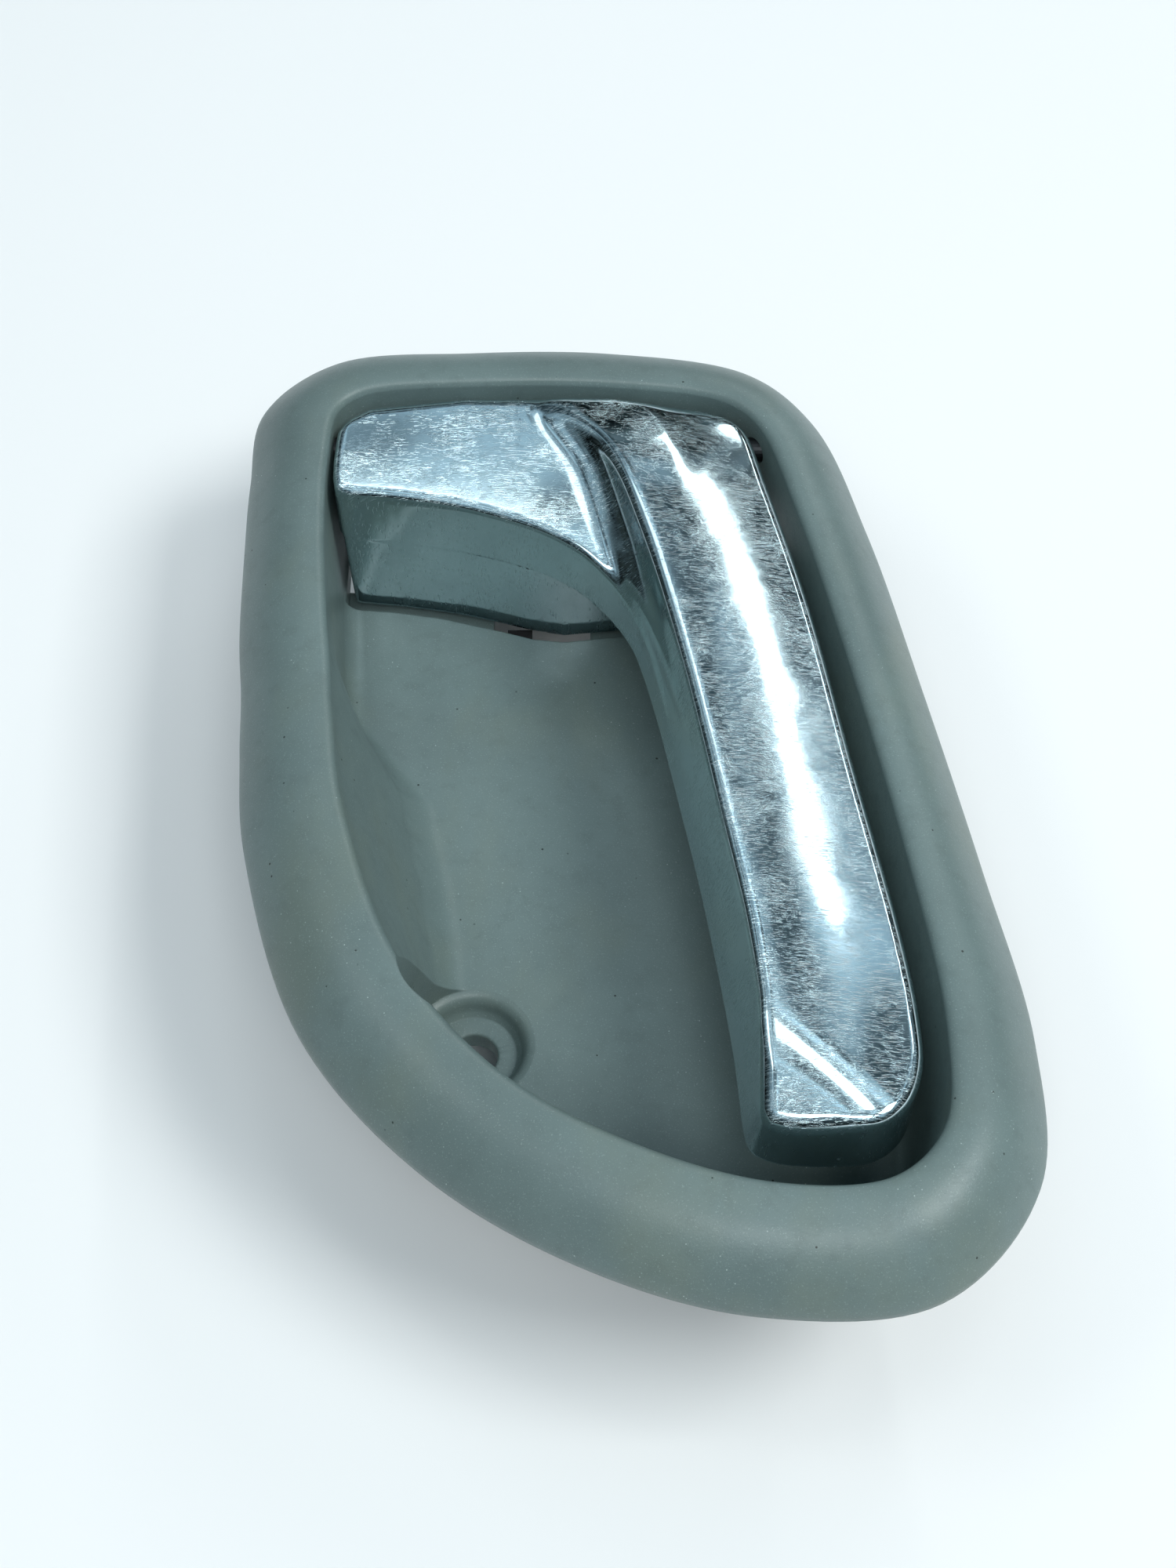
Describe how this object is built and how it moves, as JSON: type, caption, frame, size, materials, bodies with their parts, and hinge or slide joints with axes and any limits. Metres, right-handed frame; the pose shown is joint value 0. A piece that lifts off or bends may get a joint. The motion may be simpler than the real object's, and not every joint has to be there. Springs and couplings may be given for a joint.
{
  "type": "car door handle",
  "caption": "Interior car door release handle: grey moulded bezel with a finger cup and an L-shaped chrome-plated lever that swings outward on a hidden pin.",
  "frame": {"origin": "middle of the bezel outline, in the plane where its outer lip meets the door trim", "axes": "+X along the pivot pin, +Y towards the hinge end, +Z out of the trim into the cabin"},
  "size_m": [0.0999, 0.1452, 0.043],
  "materials": {
    "moulded_grey": "fine-grained satin moulding, grey with a green cast, scuffed and dusty",
    "chrome_plate": "bright plate with fine scratches and haze",
    "black_plastic": "moulded nylon",
    "acetal_white": "natural acetal",
    "steel_pin": "ground bar, lightly greased",
    "zinc_steel": "pressed steel, zinc plated",
    "zinc_screw": "zinc plated self-tapping screw",
    "spring_steel": "oiled spring steel",
    "rubber_black": "moulded rubber",
    "foam_dark": "closed-cell foam with a skin"
  },
  "bodies": {
    "housing": {"bezel_housing": "moulded_grey", "pivot_pin": "steel_pin", "bearing_cap_left": "black_plastic", "bearing_cap_right": "black_plastic", "cap_screw_left": "zinc_screw", "cap_screw_right": "zinc_screw", "return_spring": "spring_steel", "closing_buffer": "rubber_black", "opening_buffer": "rubber_black", "trim_clip_right": "spring_steel", "trim_clip_left": "spring_steel", "trim_clip_bottom": "spring_steel", "foam_pad_upper": "foam_dark", "foam_pad_lower": "foam_dark"},
    "lever": {"lever_shell": "chrome_plate", "lever_back_plate": "moulded_grey", "lever_crank": "zinc_steel", "pivot_bush_left": "acetal_white", "pivot_bush_right": "acetal_white", "crank_screw_1": "zinc_screw", "crank_screw_2": "zinc_screw", "plate_screw_1": "zinc_screw", "plate_screw_2": "zinc_screw", "plate_screw_3": "zinc_screw"},
    "rod_clip_body": {"rod_clip": "acetal_white"}
  },
  "joints": [
    {"name": "lever_swing", "type": "hinge", "parent": "housing", "child": "lever", "pos_m": [0, 0.0523, 0.003], "axis": [-1, 0, 0], "range_deg": [0, 36], "stiffness_Nm_per_rad": 0.25, "springref_deg": -20.05, "deforming": ["return_spring"]},
    {"name": "rod_clip_swivel", "type": "hinge", "parent": "lever", "child": "rod_clip_body", "pos_m": [-0.006, 0.05751, -0.02654], "axis": [-1, 0, 0], "range_deg": [-20, 20]}
  ]
}
